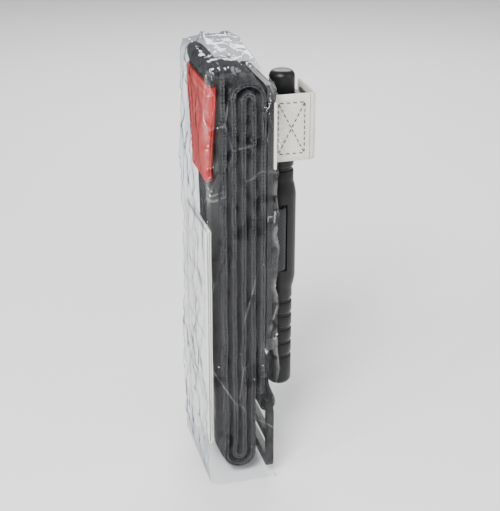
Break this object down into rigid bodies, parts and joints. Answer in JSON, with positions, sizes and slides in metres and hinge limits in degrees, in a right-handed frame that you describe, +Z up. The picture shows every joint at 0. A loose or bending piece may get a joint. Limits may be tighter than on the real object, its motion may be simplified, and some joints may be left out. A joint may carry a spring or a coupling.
{
  "type": "windlass tourniquet",
  "caption": "Folded hook-and-loop band tourniquet with a slotted windlass rod in a hook clip, red pull tip, buckle and white writing strap, in a torn clear wrapper.",
  "frame": {"origin": "on the floor, in the middle of the wrapper's flat base panel across the band, under the folded band's middle", "axes": "+Z up along the folded length, +X towards the windlass side, -X towards the back with the red tip, Y across the band"},
  "size_m": [0.0438, 0.05, 0.17],
  "materials": {
    "webbing": "matt brushed loop pile",
    "strap": "flat woven nylon",
    "hook_tape": "hook tape",
    "thread": "bonded thread",
    "moulded_plastic": "satin moulded",
    "white_tape": "matt writable tape",
    "red_vinyl": "coated red tape",
    "clear_film": "clear glossy film",
    "leaflet_paper": "thin matt paper",
    "rivet_steel": "darkened steel"
  },
  "bodies": {
    "band_pack": {"band_outer_ply": "webbing", "band_inner_ply": "webbing", "tension_strap": "strap", "stabiliser_plate": "moulded_plastic", "plate_keeper_lower": "webbing", "plate_keeper_upper": "webbing", "strap_bridge": "strap", "windlass_clip": "moulded_plastic", "clip_hook_patch": "hook_tape", "clip_rivet_lower": "rivet_steel", "clip_rivet_upper": "rivet_steel", "strap_anchor": "white_tape", "buckle_loop": "webbing", "loop_bar_tack": "thread"},
    "windlass": {"windlass_rod": "moulded_plastic", "strap_in_slot": "strap"},
    "strap_flap": {"writing_strap": "white_tape", "flap_loop_patch": "hook_tape"},
    "buckle": {"buckle_frame": "moulded_plastic"},
    "tip": {"tail_core": "webbing", "red_tip": "red_vinyl", "tip_bar_tack": "thread"},
    "wrapper": {"wrapper_base_panel": "clear_film", "wrapper_back_panel": "clear_film", "wrapper_right_panel": "clear_film", "wrapper_left_panel": "clear_film", "wrapper_top_panel": "clear_film", "leaflet": "leaflet_paper"}
  },
  "joints": [
    {"name": "windlass_turn", "type": "hinge", "parent": "band_pack", "child": "windlass", "pos_m": [0.0191, 0, 0.093], "axis": [-1, 0, 0], "range_deg": [0, 145]},
    {"name": "strap_open", "type": "hinge", "parent": "band_pack", "child": "strap_flap", "pos_m": [0.0277, -0.0101, 0.138], "axis": [0, 0, -1], "range_deg": [0, 170]},
    {"name": "buckle_tilt", "type": "hinge", "parent": "band_pack", "child": "buckle", "pos_m": [0.0092, 0, 0.03], "axis": [0, -1, 0], "range_deg": [0, 60]},
    {"name": "wrapper_off", "type": "slide", "parent": "band_pack", "child": "wrapper", "axis": [-1, 0, 0], "range_m": [0, 0.1]},
    {"name": "tip_peel", "type": "hinge", "parent": "band_pack", "child": "tip", "pos_m": [-0.0108, 0, 0.1594], "axis": [0, 1, 0], "range_deg": [0, 95]}
  ],
  "couplings": [
    {"joint": "tip_peel", "follows": "wrapper_off", "rad_per_m": 16.58}
  ]
}
